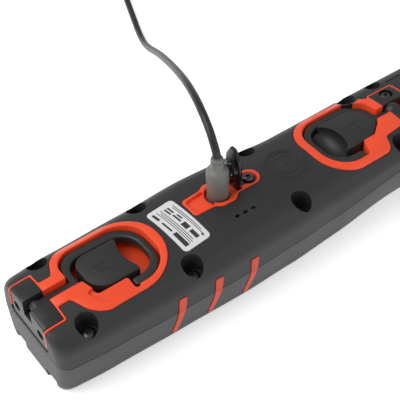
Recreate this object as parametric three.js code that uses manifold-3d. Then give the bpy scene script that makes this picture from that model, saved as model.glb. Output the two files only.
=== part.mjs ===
// Rechargeable work light, lying on its lens side with its back face up.
// Millimetres, +Z up. The source counts X from the handle end (0) to the head end (LENGTH),
// Y across the body, Z up from the surface it lies on. The last group centres it on the origin.
import * as THREE from 'three';
import { mergeVertices } from 'three/addons/utils/BufferGeometryUtils.js';
import Module from 'manifold-3d';

const wasm = await Module();
wasm.setup();

// ---- driving dimensions ----------------------------------------------------------------
const LENGTH = 258;
const GAP = 0.3; // clearance between touching pieces
const WALL = 2.4;
const REF_HALF = 28; // half width of the reference section
const REF_REAR = 20.3; // height of the rear shell's reference section
const REF_SEAM = 21; // height of the front shell's reference section

// Stations along the body: [x, value], joined by smooth steps.
const HALF_WIDTH = [[0, 26.6], [25, 28.2], [60, 29.2], [96, 30], [124, 29.2], [150, 27.6], [190, 26.8], [LENGTH, 26.8]];
const CROWN = [[0, 38.6], [22, 39.3], [64, 39.8], [96, 41.4], [118, 40.8], [146, 39.7], [LENGTH, 39.6]];
const SEAM = [[0, 21], [148, 21], [196, 25.6], [LENGTH, 26]];
const TAPER = [[0, 0], [140, 0], [200, 0.2], [LENGTH, 0.2]]; // how far the head's lower edges draw in
const STATIONS = [0, 1, 2.5, 5, 8, 14, 25, 42, 58, 74, 90, 104, 118, 134, 150, 164, 178, 190, 202, 216, 232,
  243, 249, 253.5, 256.5, LENGTH];
const INNER_STATIONS = [5, 25, 60, 96, 122, 150, 170, 190, 215, 243, 249, 253.5];

const SCREW_BORES = [[17, 20.6, 4.9], [70, 21.8, 4.9], [132.3, 20.8, 4.9], [196.4, 20.6, 5.2], [214.8, 20.4, 4.3]];
const SCREW_SEAT = 28;

const PIN = { x: 5.2, z: 34.6, r: 1.45 }; // hinge pin of the handle hook
const BALL = { x: 209.6, z: 36, r: 4.5 }; // ball joint of the head hook
const HOOK = { low: 32.4, high: 36.9 };
const PORT = { x: 102.4, y: 2.6 }; // axis of the charging plug
const FLAP = { x: 111.6, z: 40.6 }; // hinge line of the rubber flap

const CABLE_R = 1.9;
const COIL = { x: 221.6, y: 231, mean: 21, low: 1.2, high: 9, half: 5.9 };

// ---- materials ------------------------------------------------------------------------
const finish = (color, roughness, metalness = 0) =>
  new THREE.MeshStandardMaterial({ color, roughness, metalness });
const finishes = {
  shell: () => finish(0x3b3b3d, 0.55),
  front: () => finish(0x4a4a4d, 0.6),
  red: () => finish(0xe8452a, 0.45),
  hook: () => finish(0x39393b, 0.5),
  rubber: () => finish(0x111112, 0.35),
  steel: () => finish(0x8a8a8c, 0.35, 1),
  darkSteel: () => finish(0x2a2a2c, 0.4, 1),
  plug: () => finish(0x85857f, 0.6),
  cable: () => finish(0x2b2b2b, 0.5),
  label: () => finish(0xd8dadb, 0.5),
  lens: () => finish(0xdfe6ea, 0.15),
  white: () => finish(0xf0f0ee, 0.5),
  phosphor: () => finish(0xe8c832, 0.5),
  board: () => finish(0x1d5c38, 0.6),
  aluminium: () => finish(0xb5b8ba, 0.4, 1),
  cell: () => finish(0x2f6fb0, 0.4),
  black: () => finish(0x1c1c1d, 0.5),
};

// ---- solids ----------------------------------------------------------------------------
function solidOf(geometry) {
  geometry.deleteAttribute('normal');
  geometry.deleteAttribute('uv');
  const merged = mergeVertices(geometry, 1e-4);
  return new wasm.Manifold(new wasm.Mesh({
    numProp: 3,
    vertProperties: new Float32Array(merged.attributes.position.array),
    triVerts: new Uint32Array(merged.index.array),
  }));
}

function geometryOf(solid) {
  const mesh = solid.getMesh();
  const geometry = new THREE.BufferGeometry();
  geometry.setAttribute('position', new THREE.BufferAttribute(mesh.vertProperties, 3));
  geometry.setIndex(new THREE.BufferAttribute(mesh.triVerts, 1));
  geometry.computeVertexNormals();
  return geometry;
}

const join = (...solids) => solids.reduce((a, b) => a.add(b));
const cut = (solid, ...tools) => tools.reduce((a, b) => a.subtract(b), solid);
const common = (a, b) => a.intersect(b);

function box(x0, x1, y0, y1, z0, z1) {
  const geometry = new THREE.BoxGeometry(x1 - x0, y1 - y0, z1 - z0);
  geometry.translate((x0 + x1) / 2, (y0 + y1) / 2, (z0 + z1) / 2);
  return solidOf(geometry);
}

// A cylinder along one axis, from its low end to its high end.
function rod(axis, a, b, radius, low, high, sides = 24, radiusHigh = radius) {
  const geometry = new THREE.CylinderGeometry(radiusHigh, radius, high - low, sides);
  geometry.translate(0, (low + high) / 2, 0);
  if (axis === 'z') geometry.rotateX(Math.PI / 2).translate(a, b, 0);
  if (axis === 'x') geometry.rotateZ(-Math.PI / 2).translate(0, a, b);
  if (axis === 'y') geometry.translate(a, 0, b);
  return solidOf(geometry);
}

function ellipsoid(x, y, z, rx, ry, rz, sides = 24) {
  const geometry = new THREE.SphereGeometry(1, sides, sides / 2);
  geometry.rotateX(Math.PI / 2).scale(rx, ry, rz).translate(x, y, z);
  return solidOf(geometry);
}

// A closed outline from corners [x, y, radius], grown outwards by an even distance.
function outline(corners, grow = 0) {
  let points = corners.map(([x, y, r = 0.05]) => ({ x, y, r }));
  const area = points.reduce((sum, p, i) => {
    const q = points[(i + 1) % points.length];
    return sum + p.x * q.y - q.x * p.y;
  }, 0);
  if (area < 0) points = points.reverse();
  const count = points.length;
  const side = (i) => {
    const p = points[(i + count) % count];
    const q = points[(i + 1) % count];
    const length = Math.hypot(q.x - p.x, q.y - p.y);
    return { x: (q.x - p.x) / length, y: (q.y - p.y) / length };
  };
  const grown = points.map((p, i) => {
    const a = side(i - 1);
    const b = side(i);
    const turn = a.x * b.y - a.y * b.x;
    const spread = 1 + a.x * b.x + a.y * b.y;
    const x = p.x + (grow * (a.y + b.y)) / spread;
    const y = p.y - (grow * (a.x + b.x)) / spread;
    return { x, y, r: Math.max(p.r + Math.sign(turn) * grow, 0.05), a, b, turn };
  });
  const path = [];
  for (const { x, y, r, a, b, turn } of grown) {
    const angle = Math.atan2(turn, a.x * b.x + a.y * b.y);
    const back = r * Math.tan(Math.abs(angle) / 2);
    const steps = Math.max(1, Math.round((Math.abs(angle) / 0.4) * Math.min(1, r / 2)));
    const way = Math.sign(angle);
    const centre = { x: x - a.x * back - a.y * r * way, y: y - a.y * back + a.x * r * way };
    for (let k = 0; k <= steps; k += 1) {
      const t = (angle * k) / steps;
      const nx = a.y * way;
      const ny = -a.x * way;
      path.push(new THREE.Vector2(
        centre.x + r * (nx * Math.cos(t) - ny * Math.sin(t)),
        centre.y + r * (nx * Math.sin(t) + ny * Math.cos(t)),
      ));
    }
  }
  return new THREE.Shape(path);
}

// A plan-view outline raised from z0 to z1.
function prism(corners, z0, z1, grow = 0) {
  const geometry = new THREE.ExtrudeGeometry(outline(corners, grow), {
    depth: z1 - z0, bevelEnabled: false, steps: 1,
  });
  geometry.translate(0, 0, z0);
  return solidOf(geometry);
}

// The same for an outline drawn on the side of the body, in x and z, between two Y planes.
function sidePrism(corners, y0, y1, grow = 0) {
  const geometry = new THREE.ExtrudeGeometry(outline(corners, grow), {
    depth: y1 - y0, bevelEnabled: false, steps: 1,
  });
  geometry.rotateX(Math.PI / 2).translate(0, y1, 0);
  return solidOf(geometry);
}

const mirrored = (corners) => corners.map(([x, y, r]) => [x, -y, r]).reverse();
const bothSides = (corners) => [...corners, ...mirrored(corners)];

// ---- the body's shape ------------------------------------------------------------------
function along(table, x) {
  const last = table.length - 1;
  const i = Math.min(Math.max(table.findIndex(([at]) => at > x) - 1, 0), last - 1);
  const index = x >= table[last][0] ? last - 1 : i;
  const [x0, v0] = table[index];
  const [x1, v1] = table[index + 1];
  const t = THREE.MathUtils.clamp((x - x0) / (x1 - x0), 0, 1);
  return v0 + (v1 - v0) * t * t * (3 - 2 * t);
}

// How far a rounded end has drawn in at a distance d from it.
const drawIn = (d, r) => (d >= r ? 0 : r - Math.sqrt(Math.max(0, r * r - (r - d) * (r - d))));
const endRound = (x, handleRadius, headRadius) => drawIn(x, handleRadius) + drawIn(LENGTH - x, headRadius);
const halfWidth = (x) => along(HALF_WIDTH, x) - endRound(x, 6, 15);
const crown = (x) => along(CROWN, x) - endRound(x, 1.6, 6);
const bottom = (x) => endRound(x, 2.5, 5);
const seam = (x) => along(SEAM, x);

function rearSection(inset, skirt) {
  const half = REF_HALF - inset;
  const radius = 13 - inset * 0.9;
  const cx = half - 0.7 - radius;
  const cz = 5.5;
  const lean = 1.326; // the arc ends where the crown's slope of 14 degrees begins
  const shape = new THREE.Shape();
  shape.moveTo(-half, -skirt);
  shape.lineTo(half, -skirt);
  shape.lineTo(half, 0);
  shape.absarc(cx, cz, radius, 0, lean, false);
  const ex = cx + radius * Math.cos(lean);
  const ez = cz + radius * Math.sin(lean);
  shape.quadraticCurveTo(0, ez + (ex * 0.25), -ex, ez);
  shape.absarc(-cx, cz, radius, Math.PI - lean, Math.PI, false);
  shape.lineTo(-half, 0);
  return shape;
}

function frontSection(inset, skirt) {
  const half = REF_HALF - inset;
  const radius = 8 - inset * 0.9;
  const foot = half - 2.2;
  const shape = new THREE.Shape();
  shape.moveTo(half, REF_SEAM + skirt);
  shape.lineTo(-half, REF_SEAM + skirt);
  shape.lineTo(-half, REF_SEAM);
  shape.absarc(-foot + radius, inset + radius, radius, Math.PI, Math.PI * 1.5, false);
  shape.absarc(foot - radius, inset + radius, radius, Math.PI * 1.5, Math.PI * 2, false);
  shape.lineTo(half, REF_SEAM);
  return shape;
}

// Sweeps a section along the stations and shapes it to the body's outline.
function sweep(section, place, from = 0, to = LENGTH) {
  const inside = from > 0;
  const between = (inside ? INNER_STATIONS : STATIONS).filter((x) => x > from + 0.4 && x < to - 0.4);
  const stations = [from, ...between, to];
  const steps = stations.length - 1;
  const geometry = new THREE.ExtrudeGeometry(section, {
    depth: steps, steps, bevelEnabled: false, curveSegments: inside ? 4 : 5,
  });
  const position = geometry.attributes.position;
  for (let i = 0; i < position.count; i += 1) {
    const x = stations[Math.round(position.getZ(i))];
    const [y, z] = place(x, position.getX(i), position.getY(i));
    position.setXYZ(i, x, y, z);
  }
  return solidOf(geometry);
}

function rearBody({ inset = 0, skirt = 0, lift = 0, widen = 0, from = 0, to = LENGTH }) {
  return sweep(rearSection(inset, skirt), (x, y, z) => {
    const base = seam(x) + GAP / 2;
    const scale = (crown(x) - base) / REF_REAR;
    const rise = z < 0 ? z : z * scale;
    return [y * (halfWidth(x) + widen) / REF_HALF, base + rise + lift];
  }, from, to);
}

function frontBody({ inset = 0, skirt = 0, widen = 0, from = 0, to = LENGTH }) {
  return sweep(frontSection(inset, skirt), (x, y, z) => {
    const top = seam(x) - GAP / 2;
    const low = bottom(x);
    const depth = 1 - Math.min(z, REF_SEAM) / REF_SEAM;
    const taper = 1 - along(TAPER, x) * depth * depth;
    const over = Math.max(z - REF_SEAM, 0);
    const height = low + (Math.min(z, REF_SEAM) * (top - low)) / REF_SEAM + over;
    return [y * taper * (halfWidth(x) + widen) / REF_HALF, height];
  }, from, to);
}

const rearOuter = rearBody({});
const rearProud = rearBody({ skirt: 8, lift: GAP, widen: GAP });
const above = (drop) => {
  const slab = box(-5, LENGTH + 5, -40, 40, 20, 60);
  return slab.subtract(rearBody({ skirt: 20, lift: -drop }));
};

// ---- outlines on the back -----------------------------------------------------------------
const handleTrayOutline = bothSides([
  [-1, -15.3, 0.1], [11.2, -15.3, 0.8], [11.2, -8, 1], [17.3, -8, 1.5], [23, -20.9, 11], [67.2, -20.9, 19.5],
]);
const handleWell = [ // the deep part that holds the hook and the magnet pad
  [-2, -2.9, 0.1], [26.2, -2.9, 1], [28.6, -11.4, 2], [43.6, -11.4, 1], [43.6, -17.8, 1.4],
  [63, -17.8, 14], [63, 17.8, 14], [21.8, 17.8, 10.4], [21.8, 2.9, 0.8], [-2, 2.9, 0.1],
];
const handleLedge = [[23.5, -8.6, 2], [30, -19.2, 8], [46, -19.2, 2], [46, -8.6, 0.5]];
const bracketRecess = [[-2, -14.6, 0.1], [10.4, -14.6, 0.5], [10.4, 14.6, 0.5], [-2, 14.6, 0.1]];

const headTrayOutline = [
  [153.8, -21.4, 17], [188.6, -21.4, 4], [191.6, -13.8, 2.5], [203.6, -12.6, 1], [204.6, -13.9, 0.8],
  [220.6, -13.9, 1.5], [220.6, 13.9, 1.5], [204.6, 13.9, 0.8], [203.6, 12.4, 1], [192.4, 20.9, 2],
  [153.8, 21.4, 17],
];
const headWell = [
  [157.8, -17.7, 14], [178, -17.7, 1.2], [180.6, -10, 1], [187.6, -10, 3], [195, -4.6, 4],
  [196.2, -2.6, 0.6], [207, -2.6, 0.3], [207, 2.6, 0.3], [200.6, 2.6, 1], [199.8, 10.6, 6],
  [192, 17.7, 6], [157.8, 17.7, 14],
];
const clampRecess = [[205, -13.3, 0.6], [220, -13.3, 1], [220, 13.3, 1], [205, 13.3, 0.6]];

const portOutline = [[85.3, 6.2, 3.4], [96.5, 6.6, 4], [99.5, 8.8, 3], [107, 8.8, 4], [110.8, 5.3, 3],
  [125.6, 5.4, 4.9]];
const portShape = [
  ...portOutline.map(([x, y, r]) => [x, PORT.y - 0.9 * y, r]),
  ...portOutline.map(([x, y, r]) => [x, PORT.y + y, r]).reverse(),
];
const labelOutline = [[70.9, -15.9, 2], [85.5, -15.2, 2], [84, 14, 2], [69.4, 13.3, 2]];

// ---- rear shell -------------------------------------------------------------------------
function rearShell() {
  let shell = cut(
    rearOuter,
    rearBody({ inset: WALL, skirt: 4, from: WALL, to: LENGTH - WALL }),
    prism(handleTrayOutline, 24, 50, GAP),
    box(-2, 10.3, -14.5, 14.5, 22.7, 30),
    prism(headTrayOutline, 24, 50, GAP),
    prism(portShape, 24, 50, GAP),
    common(prism(labelOutline, 30, 50, GAP), above(0.7)),
  );
  const bores = SCREW_BORES.flatMap(([x, y, r]) => [[x, y, r], [x, -y, r]]);
  for (const [x, y, r] of bores) {
    shell = join(shell, common(rod('z', x, y, r + 0.75, seam(x) + GAP, 45, 16), rearOuter));
  }
  for (const [x, y, r] of bores) {
    shell = cut(shell, rod('z', x, y, r, SCREW_SEAT, 50, 16), rod('z', x, y, 1.8, 10, 40, 8));
  }
  for (const x of [101.3, 105.8, 110.3]) shell = cut(shell, rod('z', x, -13.4, 1.1, 30, 50, 10));
  for (const side of [-1, 1]) {
    shell = cut(shell, common(box(221, 247, side * 17.2 - 0.4, side * 17.2 + 0.4, 30, 50), above(0.8)));
  }
  return shell;
}

// ---- front shell ------------------------------------------------------------------------
const lensWindow = [[128, -13.5, 3], [244, -13.5, 3], [244, 13.5, 3], [128, 13.5, 3]];
const BUTTON = { x: 108, r: 6.2 };
const TORCH = { z: 13.4, r: 6.6 };

function frontShell() {
  const outer = frontBody({});
  let shell = cut(outer, frontBody({ inset: WALL, skirt: 4, from: WALL, to: LENGTH - WALL }));
  for (const [x, y] of SCREW_BORES) {
    for (const side of [-1, 1]) {
      const boss = rod('z', x, side * y, 3.6, 1, seam(x) - GAP / 2, 10);
      shell = join(shell, common(boss, outer));
      shell = cut(shell, rod('z', x, side * y, 1.8, 8, 40, 8));
    }
  }
  shell = cut(
    shell,
    prism(lensWindow, -1, 5, GAP),
    rod('z', BUTTON.x, 0, BUTTON.r + GAP, -1, 5, 28),
    rod('x', 0, TORCH.z, TORCH.r + GAP, LENGTH - 5, LENGTH + 2, 28),
  );
  for (const side of [-1, 1]) {
    shell = cut(shell, box(-1, 3.2, side * 13.4 - 4.4, side * 13.4 + 4.4, -1, 6.2));
  }
  return shell;
}

// ---- hook trays -------------------------------------------------------------------------
const TRAY_LOW = 26.6;
const WELL_FLOOR = 28.6;

function handleTray() {
  let tray = common(prism(handleTrayOutline, TRAY_LOW, 50), rearProud);
  tray = cut(
    tray,
    prism(handleWell, WELL_FLOOR, 50),
    common(prism(handleLedge, 30, 50), above(1.2)),
    prism(bracketRecess, 20, 50),
    box(-3, 0.05, -20, 20, 20, 50),
  );
  for (const side of [-1, 1]) tray = cut(tray, rod('z', 17, side * 20.6, 5.95, 20, 50, 20));
  return tray;
}

function headTray() {
  let tray = common(prism(headTrayOutline, TRAY_LOW, 50), rearProud);
  tray = cut(
    tray,
    prism(headWell, WELL_FLOOR, 50),
    prism(clampRecess, 33.2, 50),
    ellipsoid(BALL.x, 0, BALL.z, BALL.r + 0.5, BALL.r + 0.5, BALL.r + 0.5),
  );
  for (const side of [-1, 1]) {
    tray = cut(
      tray,
      rod('z', 196.4, side * 20.6, 6.25, 20, 50, 20),
      rod('z', 213.4, side * 9.2, 1.8, 20, 50, 12),
    );
  }
  return tray;
}

// ---- hooks, pads and their hinges ---------------------------------------------------------
const handleHookOutline = [
  [PIN.x, -2.2, 0.1], [26, -2.2, 1.5], [26, 12.7, 8], [58.8, 12.7, 10], [58.8, -12.4, 10], [44.6, -12.4, 1.4],
  [44.6, -17.2, 2], [62.4, -17.2, 13.6], [62.4, 17.2, 13.6], [22.5, 17.2, 10], [22.5, 2.2, 1.4], [PIN.x, 2.2, 0.1],
];
const headHookOutline = [
  [206.5, -2, 0.1], [195.3, -2, 1.2], [195.3, 6, 5], [190, 13, 5], [162.6, 13, 9], [162.6, -12.4, 9.5],
  [177.2, -12.4, 1.4], [177.2, -17.1, 2], [158.4, -17.1, 13.5], [158.4, 17.1, 13.5], [190.6, 17.1, 6],
  [198.6, 9.6, 6], [199.7, 2, 1], [206.5, 2, 0.1],
];

function handleHook() {
  const ring = prism(handleHookOutline, HOOK.low, HOOK.high);
  const barrel = rod('y', PIN.x, PIN.z, 2.6, -2.2, 2.2);
  return cut(join(ring, barrel), rod('y', PIN.x, PIN.z, PIN.r + GAP, -5, 5));
}

function headHook() {
  const ring = prism(headHookOutline, HOOK.low + 0.4, HOOK.high + 0.4);
  return join(ring, ellipsoid(BALL.x, 0, BALL.z, BALL.r, BALL.r, BALL.r));
}

function handlePad() {
  const plan = [[28.6, -10, 9], [53.5, -10, 0.4], [53.5, 12, 0.4], [28.6, 12, 7]];
  const block = common(prism(plan, WELL_FLOOR + GAP, 50), rearBody({ skirt: 8, lift: -1.7 }));
  return cut(block, rod('z', 66.6, 0.8, 18.1, 20, 50, 64), prism([[50.8, -20, 0.1], [60, -20, 0.1],
    [60, 20, 0.1], [50.8, 20, 0.1]], 20, 50));
}

function headPad() {
  const plan = [[170.6, -9.6, 0.4], [187, -9.6, 3], [194.9, -4, 4], [194.9, 5.6, 5], [190, 12.6, 4],
    [170.6, 12.6, 0.4]];
  const block = common(prism(plan, WELL_FLOOR + GAP, 50), rearBody({ skirt: 8, lift: -0.5 }));
  const pad = cut(block, rod('z', 155.2, 1.5, 18.1, 20, 50, 64));
  const cupPlan = [[164.2, -9.4, 5], [174.6, -9.4, 2], [174.6, 11.4, 2], [164.2, 11.4, 5]];
  const cup = cut(prism(cupPlan, WELL_FLOOR + GAP, 34.6), ellipsoid(168.6, 1, 37.6, 6.4, 11, 7));
  return join(cut(pad, ellipsoid(168.6, 1, 37.6, 6.4, 11, 7)), cup);
}

function handleBracket() {
  const corner = [[0.4, -14.2, 0.4], [10, -14.2, 0.5], [10, 14.2, 0.5], [0.4, 14.2, 0.4]];
  let bracket = common(prism(corner, 24, 50), rearProud);
  bracket = join(bracket, box(0.4, 4.5, -14.2, 14.2, 23, 30));
  bracket = cut(
    bracket,
    box(-1, 12, -3.2, 3.2, 30.8, 50),
    rod('y', PIN.x, PIN.z, PIN.r + GAP, -12.5, 12.5),
  );
  for (const side of [-1, 1]) {
    bracket = cut(bracket, rod('x', side * 9.8, 30, 2.5, -1, 4.2, 20), rod('x', side * 9.8, 30, 1.3, -1, 8.4, 12));
  }
  return bracket;
}

function clampPlate(side) {
  const plan = [[205.3, side * 2.9, 0.4], [219.7, side * 2.9, 0.4], [219.7, side * 13, 0.8],
    [205.3, side * 13, 0.8]];
  const block = common(prism(plan, 33.5, 50), rearProud);
  return cut(
    block,
    ellipsoid(BALL.x, 0, BALL.z, BALL.r + GAP, BALL.r + GAP, BALL.r + GAP),
    rod('z', 213.4, side * 9.2, 3.5, 37, 50, 20),
    rod('z', 213.4, side * 9.2, 1.8, 20, 50, 12),
  );
}

// ---- screws -----------------------------------------------------------------------------
// A pan-head screw standing on its seat, with a hexagonal socket in the head.
function screw(x, y, seat, headRadius, shankRadius, length) {
  const head = rod('z', x, y, headRadius, seat, seat + headRadius * 0.6, 14, headRadius * 0.78);
  const shank = rod('z', x, y, shankRadius, seat - length, seat + 0.5, 8);
  const socket = rod('z', x, y, headRadius * 0.38, seat + 0.7, seat + 9, 6);
  return cut(join(head, shank), socket);
}

function axialScrew(side) {
  const head = rod('x', side * 9.8, 30, 2.2, 2.4, 3.9, 16);
  const shank = rod('x', side * 9.8, 30, 1, 2.6, 8.2, 10);
  return cut(join(head, shank), rod('x', side * 9.8, 30, 0.85, 2, 3.2, 6));
}

// ---- charging port ------------------------------------------------------------------------
function portSurround() {
  const body = common(prism(portShape, 35, 50), rearProud);
  const tab = [[87, PORT.y - 4.4, 2], [95.6, PORT.y - 5, 0.8], [95.6, PORT.y + 5, 0.8], [87, PORT.y + 4.4, 2]];
  return cut(
    body,
    rod('z', PORT.x, PORT.y, 6.4, 38.3, 50, 28),
    box(PORT.x - 4.9, PORT.x + 4.9, PORT.y - 2.5, PORT.y + 2.5, 30, 50),
    box(107, 113.4, PORT.y - 4.3, PORT.y + 4.3, 38.8, 50),
    box(113, 120, PORT.y - 2.7, PORT.y + 2.7, 38.8, 50),
    common(prism(tab, 30, 50), above(1.3)),
    rod('z', 119.8, PORT.y, 3.7, 38.6, 50, 20),
    rod('z', 119.8, PORT.y, 1.8, 30, 50, 12),
  );
}

function chargingSocket() {
  const body = box(PORT.x - 4.5, PORT.x + 4.5, PORT.y - 2.1, PORT.y + 2.1, 30.1, 38);
  return cut(body, box(PORT.x - 3.8, PORT.x + 3.8, PORT.y - 1.3, PORT.y + 1.3, 31.5, 40));
}

// The flap stands open on its strap: a leaf with a ring lip that plugs the port when it is shut.
function portFlap() {
  const leaf = [[-3.9, 0.3, 0.8], [3.9, 0.3, 0.8], [5.4, 10, 4], [5.1, 18, 4], [4.4, 23.2, 2], [-4.4, 23.2, 2],
    [-5.1, 18, 4], [-5.4, 10, 4]];
  const geometry = new THREE.ExtrudeGeometry(outline(leaf), { depth: 1.9, bevelEnabled: false, steps: 1 });
  geometry.rotateX(Math.PI / 2).rotateZ(Math.PI / 2);
  geometry.translate(FLAP.x - 0.95, PORT.y, FLAP.z);
  let flap = solidOf(geometry);
  const lip = rod('x', PORT.y, FLAP.z + 11, 4.4, FLAP.x - 2.8, FLAP.x - 0.5, 24);
  flap = cut(join(flap, lip), rod('x', PORT.y, FLAP.z + 11, 3.3, FLAP.x - 4, FLAP.x - 0.9, 24));
  return join(flap, rod('y', FLAP.x, FLAP.z + 0.4, 0.95, PORT.y - 3.9, PORT.y + 3.9, 12));
}

// The strap that holds the flap, clamped by the screw in the surround's round lobe.
function flapStrap() {
  const ring = rod('z', 119.8, PORT.y, 3.4, 39.1, 40.3, 20);
  const arm = box(112.9, 119, PORT.y - 2.4, PORT.y + 2.4, 39.1, 40.3);
  return cut(join(ring, arm), rod('z', 119.8, PORT.y, 1.8, 35, 50, 12));
}

// ---- light engine -------------------------------------------------------------------------
function frontLens() {
  return join(prism(lensWindow, 0.6, 3.4, 0), prism(lensWindow, 3.3, 4.4, 1.2));
}

function reflectorFrame() {
  return cut(box(132, 240, -12, 12, 4.7, 7), box(135, 237, -7, 7, 3, 8));
}

// ---- charging cable -------------------------------------------------------------------------
// The route leaves the plug almost straight up, arches over and runs along the floor to its coil.
// Points are [distance from the plug, height, drift to the left of the heading].
const HEADING = THREE.MathUtils.degToRad(68);
const ROUTE = [
  [0.2, 63.9, 0], [0.95, 66.6, 0.3], [2.9, 69.9, 0.8], [5.9, 72.9, 1.2], [10.2, 75.2, 1.7], [16, 76.5, 2.1],
  [24, 76.4, 2.3], [34, 74.6, 2.4], [46.5, 70.9, 2.4], [60, 65.2, 2.2], [74, 58.4, 1.8], [92, 49, 1.2],
  [110, 39.2, 0.6], [124, 31.3, 0.2], [137, 23.8, 0], [149, 16.9, 0], [160, 11, 0], [170, 6.6, 0], [179.5, 3.8, 0],
  [189, 2.4, 0], [199, 2.1, 0], [211, 2.1, 0], [226, 2.1, 0], [241, 2.1, 0],
];

function cableRoute() {
  const [east, north] = [Math.cos(HEADING), Math.sin(HEADING)];
  return ROUTE.map(([s, z, drift]) => new THREE.Vector3(
    PORT.x + s * east - drift * north, PORT.y + s * north + drift * east, z,
  ));
}

function cable() {
  const section = new THREE.Shape();
  section.absarc(0, 0, CABLE_R, 0, Math.PI * 2, false);
  const curve = new THREE.CatmullRomCurve3(cableRoute(), false, 'centripetal');
  return solidOf(new THREE.ExtrudeGeometry(section, {
    steps: 58, curveSegments: 4, bevelEnabled: false, extrudePath: curve,
  }));
}

function lathe(profile, sides) {
  const points = [...profile, profile[0]].map(([r, z]) => new THREE.Vector2(r, z));
  const geometry = new THREE.LatheGeometry(points, sides);
  geometry.rotateX(Math.PI / 2);
  return geometry;
}

function cableCoil() {
  const { mean, half, low, high } = COIL;
  const ring = lathe([[mean - half, low], [mean + half, low], [mean + half, high], [mean - half, high]], 40);
  ring.translate(COIL.x, COIL.y, 0);
  return solidOf(ring);
}

function cableTie() {
  const y0 = COIL.y - COIL.mean - COIL.half - 0.4;
  const y1 = COIL.y - COIL.mean + COIL.half + 0.7;
  const loop = box(COIL.x - 2.5, COIL.x + 2.5, y0 - 0.8, y1 + 0.8, 0.1, COIL.high + 1.1);
  return cut(loop, box(COIL.x - 4, COIL.x + 4, y0, y1, 0.9, COIL.high + 0.3));
}

function lampPlug() {
  const barrel = rod('z', PORT.x, PORT.y, 5.2, 38.6, 55.6, 24);
  const shoulder = rod('z', PORT.x, PORT.y, 5.2, 55.5, 57.4, 24, 3.6);
  const neck = rod('z', PORT.x, PORT.y, 3, 57, 63, 20, 2.7);
  return join(barrel, shoulder, neck);
}

// The plug at the cable's far end lies beside the coil and points back along the body's side.
const CHARGER = { x: 253.8, y: 215, z: 4.7 };

function chargerPlug() {
  const { x, y, z } = CHARGER;
  const body = box(x - 7.6, x + 7.6, y - 17, y, z - 4.4, z + 4.4);
  const relief = rod('y', x, z, 3.4, y - 0.5, y + 9.5, 16, 2.3);
  return join(body, relief);
}

function chargerTip() {
  const { x, y, z } = CHARGER;
  const shell = box(x - 6, x + 6, y - 29, y - 17.3, z - 2.25, z + 2.25);
  return cut(shell, box(x - 5.6, x + 5.6, y - 30, y - 19, z - 0.3, z + 1.9));
}

// ---- assembly -------------------------------------------------------------------------------
const light = new THREE.Group();
light.position.x = -LENGTH / 2;

function add(name, solid, material) {
  const mesh = new THREE.Mesh(geometryOf(solid), material);
  mesh.name = name;
  light.add(mesh);
}

const body = { near: -1, far: 1 };

// Three grip stripes on each side, each crossing the joint between the shells.
const shells = (widen) => join(rearBody({ skirt: 0.5, widen }), frontBody({ skirt: 0.5, widen }));
const stripeAt = (x) => [[x - 2.9, 6.2, 0.8], [x - 0.4, 6.2, 0.8], [x + 2.9, 18, 14], [x + 5.1, 27.6, 0.4],
  [x + 1, 27.6, 0.4], [x - 0.4, 18, 14]];
const sidePlanes = { near: [-36, -18], far: [18, 36] };
const stripes = [];
const grooves = [];
for (const [name, [y0, y1]] of Object.entries(sidePlanes)) {
  [57, 76.4, 96].forEach((x, i) => {
    const strip = cut(common(sidePrism(stripeAt(x), y0, y1), shells(0.35)), shells(-0.9));
    stripes.push([`grip_stripe_${name}_${i + 1}`, strip]);
    grooves.push(cut(sidePrism(stripeAt(x), y0, y1, GAP), shells(-1.25)));
  });
}

add('rear_shell', cut(rearShell(), ...grooves), finishes.shell());
add('front_shell', cut(frontShell(), ...grooves), finishes.front());
for (const [name, strip] of stripes) add(name, strip, finishes.red());
add('handle_hook_tray', handleTray(), finishes.red());
add('head_hook_tray', headTray(), finishes.red());
add('handle_bracket', handleBracket(), finishes.hook());
add('handle_hook_pin', rod('y', PIN.x, PIN.z, PIN.r, -12.2, 12.2, 16), finishes.steel());
add('handle_hook', handleHook(), finishes.hook());
add('head_hook', headHook(), finishes.hook());
add('handle_magnet_pad', handlePad(), finishes.hook());
add('head_magnet_pad', headPad(), finishes.hook());
add('handle_magnet', rod('z', 40, 0, 8, 23.9, 26.3, 28), finishes.steel());
add('head_magnet', rod('z', 182, 0, 8, 23.9, 26.3, 28), finishes.steel());
for (const [name, side] of Object.entries(body)) {
  add(`bracket_screw_${name}`, axialScrew(side), finishes.darkSteel());
  add(`clamp_plate_${name}`, clampPlate(side), finishes.hook());
  add(`clamp_screw_${name}`, screw(213.4, side * 9.2, 37.3, 3, 1.4, 9.5), finishes.darkSteel());
}

add('port_surround', portSurround(), finishes.red());
add('charging_socket', chargingSocket(), finishes.steel());
add('charging_board', box(90, 114, PORT.y - 8, PORT.y + 8, 28, 29.7), finishes.board());
add('port_flap', portFlap(), finishes.rubber());
add('flap_strap', flapStrap(), finishes.rubber());
add('flap_screw', screw(119.8, PORT.y, 40.6, 2.7, 1.4, 8), finishes.darkSteel());
add('rating_label', cut(common(prism(labelOutline, 30, 50), rearProud), rearBody({ skirt: 8, lift: -0.4 })),
  finishes.label());

SCREW_BORES.forEach(([x, y], i) => {
  for (const [name, side] of Object.entries(body)) {
    add(`housing_screw_${name}_${i + 1}`, screw(x, side * y, SCREW_SEAT + GAP, 3.4, 1.45, 16), finishes.darkSteel());
  }
});

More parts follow.
